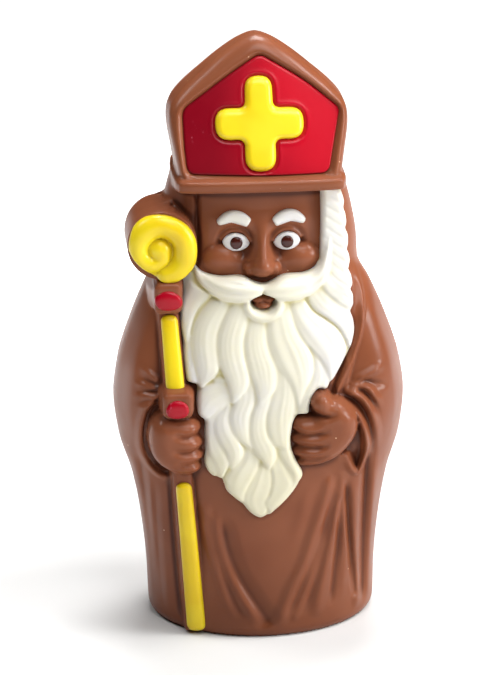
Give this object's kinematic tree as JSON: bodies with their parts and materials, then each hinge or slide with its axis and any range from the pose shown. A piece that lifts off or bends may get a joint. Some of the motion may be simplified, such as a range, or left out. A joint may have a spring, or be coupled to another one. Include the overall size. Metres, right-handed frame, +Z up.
{
  "type": "moulded chocolate santa claus",
  "caption": "Upright moulded chocolate figure in a mitre and long robe, with a white beard and a staff, that stands on its flat base.",
  "frame": {"origin": "middle of the box's bottom face, on the surface that the figure stands on", "axes": "+Z up along the figure, which looks along -Y; +X towards its own left hand"},
  "size_m": [0.0838, 0.0623, 0.17],
  "materials": {
    "milk_chocolate": "milk chocolate with a satin mould gloss",
    "white_chocolate": "white chocolate, ivory, satin",
    "red_chocolate": "red coloured chocolate, glossy",
    "yellow_chocolate": "yellow coloured chocolate, satin gloss",
    "dark_chocolate": "dark chocolate, glossy"
  },
  "bodies": {
    "root": {"figure": "milk_chocolate", "beard": "white_chocolate", "brow_left": "white_chocolate", "brow_right": "white_chocolate", "eye_left": "white_chocolate", "eye_right": "white_chocolate", "pupil_left": "dark_chocolate", "pupil_right": "dark_chocolate", "mitre_panel": "red_chocolate", "gem_upper": "red_chocolate", "gem_lower": "red_chocolate", "mitre_cross": "yellow_chocolate", "crozier_head": "yellow_chocolate", "staff_upper": "yellow_chocolate", "staff_lower": "yellow_chocolate"}
  },
  "joints": []
}
